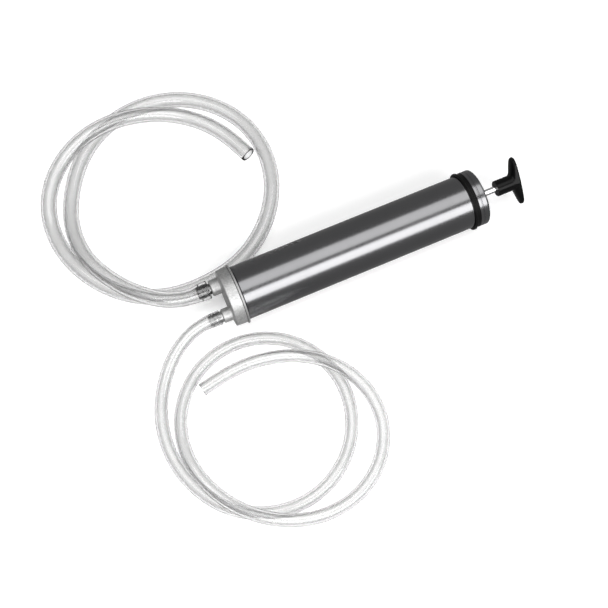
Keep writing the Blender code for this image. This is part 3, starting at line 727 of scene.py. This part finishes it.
def make_rod_parts(chrome, zinc, rubber):
    """The rod, the bush it slides in and the wiper in the bush's mouth."""
    bush = rounded(
        [
            (0.1190, 0.00345, 0.0001),
            (0.1190, 0.0067, 0.0003),
            (0.1258, 0.0067, 0.0),
            (0.1258, 0.0090, 0.0002),
            (0.1278, 0.0090, 0.0005),
            (0.1278, 0.0053, 0.0002),
            (0.1260, 0.0053, 0.0),
            (0.1260, 0.00345, 0.0),
        ],
        4,
    )
    place(lathe("bush_turning", bush, 72), zinc, "pump_body", "plated_steel", "rod_bush")
    wiper = rounded(
        [
            (0.1263, 0.00345, 0.0),
            (0.1263, 0.0050, 0.0001),
            (0.1275, 0.0050, 0.0003),
            (0.1275, 0.00345, 0.0003),
        ],
        4,
    )
    place(lathe("wiper_lip", wiper, 72), rubber, "pump_body", "black_rubber", "rod_wiper_seal")
    rod = rounded(
        [
            (-0.1262, 0.0, 0.0),
            (-0.1262, ROD_RADIUS, 0.0005),
            (0.1600, ROD_RADIUS, 0.0005),
            (0.1600, 0.0, 0.0),
        ],
        3,
    )
    bar = lathe("rod_bar", rod, 72, closed=False)
    place(bar, chrome, "handle_rod", "polished_steel", "plunger_rod")


def make_fittings():
    """Both barbed tails; the inlet's is glossier than the outlet's, and its darker tone is painted
    shade.
    """
    for name, node, side, barb, root, bore, tone_and_painted_shade, sheen in (
        # The inlet's low tone is painted shade over the same plated steel as the outlet's.
        ("inlet_tail", "inlet_fitting", 1, 0.0071, 0.0061, 0.0032, 0.20, 0.18),
        ("outlet_tail", "outlet_fitting", -1, 0.0057, 0.0048, 0.0029, 0.46, 0.30),
    ):
        outline = [
            (-0.1475, bore, 0.0001),
            (-0.1475, 0.0047, 0.0002),
            (-0.1574, 0.0047, 0.0),
            (-0.1574, 0.0055, 0.0003),
            (FITTING_SHOULDER_X, 0.0055, 0.0002),
        ]
        pitch = (FITTING_SHOULDER_X - FITTING_TIP_X) / BARB_COUNT
        for index in range(BARB_COUNT):
            start = FITTING_SHOULDER_X - index * pitch
            outline += [
                (start - 0.0001, barb, 0.0002),
                (start - 0.0008, barb, 0.0002),
                (start - pitch + 0.0003, root, 0.0003),
            ]
        outline += [(FITTING_TIP_X, root - 0.0002, 0.0002), (FITTING_TIP_X, bore, 0.0002)]
        piece = lathe(name, rounded(outline, 4), 96, across=side * PORT_Y)
        look = polished_metal(name + "_look", (tone_and_painted_shade, tone_and_painted_shade, tone_and_painted_shade), sheen, sheen + 0.16)
        place(piece, look, "pump_body", "plated_steel", node)


def handle_outline(along, steps_edge=6, steps_under=22):
    """The crossbar's section at a place from -1 to 1 along it, as (x, across) points."""
    taper = abs(along) ** HANDLE_TAPER_POWER
    rounding = math.sqrt(max(1.0 - abs(along) ** HANDLE_END_POWER, 0.0))
    breadth = (HANDLE_HALF_BREADTH - HANDLE_NARROWING * taper) * rounding
    thickness = HANDLE_THICKNESS - HANDLE_THINNING * taper
    edge = min(HANDLE_EDGE, breadth * 0.6)
    power = 2.0 / HANDLE_SECTION_POWER
    points = []
    for side in (-1, 1):
        for step in range(steps_edge + 1):
            turn = step / steps_edge
            if side == 1:
                turn = 1.0 - turn
            angle = turn * math.pi / 2.0
            across = side * (breadth - edge + edge * math.cos(angle))
            points.append((HANDLE_FACE_X - edge + edge * math.sin(angle), across))
    depth = thickness - edge
    for step in range(1, steps_under):
        angle = math.pi * step / steps_under
        across = breadth * math.copysign(abs(math.cos(angle)) ** power, math.cos(angle))
        points.append((HANDLE_FACE_X - edge - depth * math.sin(angle) ** power, across))
    return points


def make_hub():
    """The round hub, with a fillet that spreads along the crossbar but not across it."""
    stem = [(0.1459, 0.0, 0.0), (0.1459, HUB_RADIUS, 0.0003), (0.1600, HUB_RADIUS, 0.0)]
    outline = rounded(stem, 4)
    root_radius = HUB_RADIUS + HUB_FILLET
    steps = 8
    for step in range(steps + 1):
        angle = math.pi / 2.0 * step / steps
        x = HUB_FILLET_X + HUB_FILLET * math.sin(angle)
        outline.append((x, root_radius - HUB_FILLET * math.cos(angle)))
    outline += [(0.1665, root_radius), (0.1665, 0.0)]
    hub = lathe("hub", outline, 96, closed=False)
    hub.data.transform(Matrix.Translation((0.0, 0.0, -AXIS_HEIGHT)))
    for vertex in hub.data.vertices:
        radius = math.hypot(vertex.co.y, vertex.co.z)
        if radius > HUB_RADIUS:
            vertex.co.z *= HUB_RADIUS / radius
    return hub


def make_handle(plastic):
    """The crossbar and its hub melted into one moulding, then turned to its place."""
    vertices = []
    faces = []
    sections = 64
    for index in range(sections + 1):
        share = math.sin(math.pi / 2.0 * (2.0 * index / sections - 1.0))
        along = HANDLE_END_REACH * share
        ring = handle_outline(along)
        place_along = along * HANDLE_HALF_LENGTH / HANDLE_END_REACH
        vertices += [(x, place_along, across) for x, across in ring]
    count = len(ring)
    for index in range(sections):
        for corner in range(count):
            after = (corner + 1) % count
            low = index * count
            high = low + count
            faces.append((low + corner, low + after, high + after, high + corner))
    faces.append(tuple(range(count)))
    faces.append(tuple(range(sections * count, (sections + 1) * count)))
    mesh = bpy.data.meshes.new("handle_moulding")
    mesh.from_pydata(vertices, [], faces)
    handle = add_piece("handle_moulding", mesh)
    hub = make_hub()
    union = handle.modifiers.new("hub", "BOOLEAN")
    union.object = hub
    union.operation = "UNION"
    union.solver = "EXACT"
    melt = handle.modifiers.new("melt", "REMESH")
    melt.mode = "VOXEL"
    melt.voxel_size = 0.00032
    melt.use_smooth_shade = True
    soften = handle.modifiers.new("soften", "SMOOTH")
    soften.factor = 0.6
    soften.iterations = 4
    settle(handle, 60.0)
    bpy.data.objects.remove(hub, do_unlink=True)
    handle.data.transform(
        Matrix.Translation((0.0, 0.0, AXIS_HEIGHT)) @ Matrix.Rotation(HANDLE_TURN, 4, "X")
    )
    place(handle, plastic, "handle_rod", "black_gloss_plastic", "handle")


# ---------------------------------------------------------------- surroundings
def make_surroundings():
    """A plain pale floor, a soft grey room, two overhead softboxes and one beyond each end.

    The floor glows faintly so that shadows stay light, and isn't mirrored in the metal, so the
    barrel's sides reflect the grey room and stay dark between the two softboxes' bright bands.
    """
    mesh = bpy.data.meshes.new("floor")
    size = 14.0
    level = -0.0002
    corners = [(x * size, y * size, level) for x, y in ((-1, -1), (1, -1), (1, 1), (-1, 1))]
    mesh.from_pydata(corners, [], [(0, 1, 2, 3)])
    floor = bpy.data.objects.new("floor", mesh)
    bpy.context.scene.collection.objects.link(floor)
    material, tree, shader = new_material("pale_floor", (0.88, 0.88, 0.88), 0.85)
    shader.inputs["Specular IOR Level"].default_value = 0.1
    shader.inputs["Emission Color"].default_value = (1.0, 1.0, 1.0, 1.0)
    shader.inputs["Emission Strength"].default_value = 0.22
    mesh.materials.append(material)
    floor.visible_glossy = False

    world = bpy.data.worlds.new("room")
    world.use_nodes = True
    background = world.node_tree.nodes["Background"]
    background.inputs["Color"].default_value = (1.0, 1.0, 1.0, 1.0)
    background.inputs["Strength"].default_value = 0.28
    bpy.context.scene.world = world
    bpy.context.scene.view_settings.view_transform = "Standard"

    middle = Vector((-0.03, 0.0, AXIS_HEIGHT))
    for name, across, along, distance, size_x, size_y, power in (
        ("softbox_near", 49.0, 0.0, 1.35, 1.8, 0.80, 20.0),
        ("softbox_far", -2.0, 0.0, 1.35, 1.8, 0.96, 11.5),
        ("softbox_left", 0.0, -58.0, 2.0, 0.9, 1.6, 4.0),
        ("softbox_right", 0.0, 58.0, 2.0, 0.9, 1.6, 4.0),
    ):
        lean = Matrix.Rotation(math.radians(across), 3, "X")
        turn = Matrix.Rotation(math.radians(along), 3, "Y") @ lean
        light = bpy.data.lights.new(name, "AREA")
        light.shape = "RECTANGLE"
        light.size = size_x
        light.size_y = size_y
        light.energy = power
        item = bpy.data.objects.new(name, light)
        bpy.context.scene.collection.objects.link(item)
        item.location = middle + turn @ Vector((0.0, 0.0, distance))
        item.rotation_euler = turn.to_euler()


# ---------------------------------------------------------------- inner pieces and the whole
def dress_inner_pieces(zinc, chrome, rubber, brass):
    """Better materials for the pieces inside the barrel, the ports and the handle."""
    looks = {
        "piston_front_washer": zinc,
        "piston_rear_washer": zinc,
        "piston_front_nut": zinc,
        "piston_rear_nut": zinc,
        "piston_cup": rubber,
        "cap_o_ring": rubber,
        "bush_nut": zinc,
        "handle_insert": brass,
        "inlet_valve_ball": chrome,
        "inlet_valve_spring": chrome,
        "outlet_valve_ball": chrome,
        "outlet_valve_spring": chrome,
    }
    for node, look in looks.items():
        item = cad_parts[node]
        for slot in item.material_slots:
            slot.material = look


def main():
    """The camera and the cords first, then every hard piece, then the room."""
    make_camera()
    make_hoses()
    steel = satin_steel("satin_steel_look")
    cast = cast_aluminium("cast_aluminium_look")
    chrome = polished_metal("polished_steel_look", (0.88, 0.88, 0.88), 0.06, 0.12)
    zinc = polished_metal("plated_steel_look", (0.40, 0.40, 0.40), 0.20, 0.36)
    brass = polished_metal("brass_look", (0.70, 0.54, 0.28), 0.18, 0.34)
    rubber = black_rubber("black_rubber_look")
    plastic = gloss_plastic("black_plastic_look")
    make_barrel(steel)
    make_base_cap(cast)
    make_front_rings(rubber, cast)
    make_rear_rings(rubber, steel)
    make_rod_parts(chrome, zinc, rubber)
    make_fittings()
    make_handle(plastic)
    dress_inner_pieces(zinc, chrome, rubber, brass)
    make_surroundings()


main()
